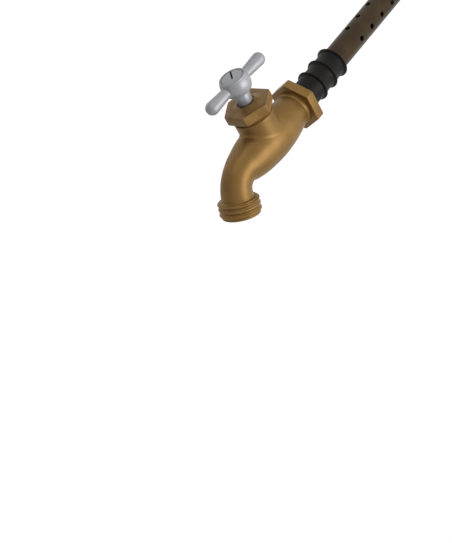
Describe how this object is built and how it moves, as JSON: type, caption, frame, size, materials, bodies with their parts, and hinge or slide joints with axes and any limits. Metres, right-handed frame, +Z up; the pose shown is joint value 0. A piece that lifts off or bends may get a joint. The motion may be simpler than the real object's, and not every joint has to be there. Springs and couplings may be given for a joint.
{
  "type": "tap-shaped wine aerator",
  "caption": "Elbow tap with a quarter-turn plug valve, a cross handle, a threaded spout, a finned stopper and a long perforated tube.",
  "frame": {"origin": "middle of the inlet hexagon's rear face, on the inlet's axis", "axes": "+Z runs up the inlet from the stopper into the body, +X points to the handle, the spout leaves towards -X and rises 20 degrees"},
  "size_m": [0.0659, 0.0282, 0.1876],
  "materials": {
    "cast_brass": "satin cast bronze-brown",
    "nut_brass": "satin bronze-brown",
    "plug_brass": "turned",
    "tube_bronze": "satin dark bronze",
    "satin_alloy": "satin",
    "satin_steel": "satin",
    "screen_steel": "brushed",
    "fibre": "pressed fibre",
    "liner_plastic": "matte",
    "holder_plastic": "matte",
    "seal_rubber": "smooth",
    "stopper_rubber": "satin"
  },
  "bodies": {
    "tap_body": {"body": "cast_brass", "bonnet_nut": "nut_brass", "bonnet_washer": "fibre", "plug_liner": "liner_plastic", "thrust_washer": "liner_plastic", "aeration_tube": "tube_bronze", "tube_ring": "seal_rubber", "stopper_sleeve": "stopper_rubber", "outlet_ring": "seal_rubber", "outlet_holder": "holder_plastic", "diffuser_disc": "screen_steel", "outlet_screen": "screen_steel", "snap_ring": "screen_steel"},
    "turning_handle": {"handle": "satin_alloy", "handle_screw": "satin_steel", "screw_washer": "satin_steel", "stem": "satin_steel", "stem_ring_lower": "seal_rubber", "stem_ring_upper": "seal_rubber", "valve_plug": "plug_brass"}
  },
  "joints": [
    {"name": "handle_turn", "type": "hinge", "parent": "tap_body", "child": "turning_handle", "pos_m": [0, 0, 0.0325], "axis": [1, 0, 0], "range_deg": [-87, 3]}
  ]
}
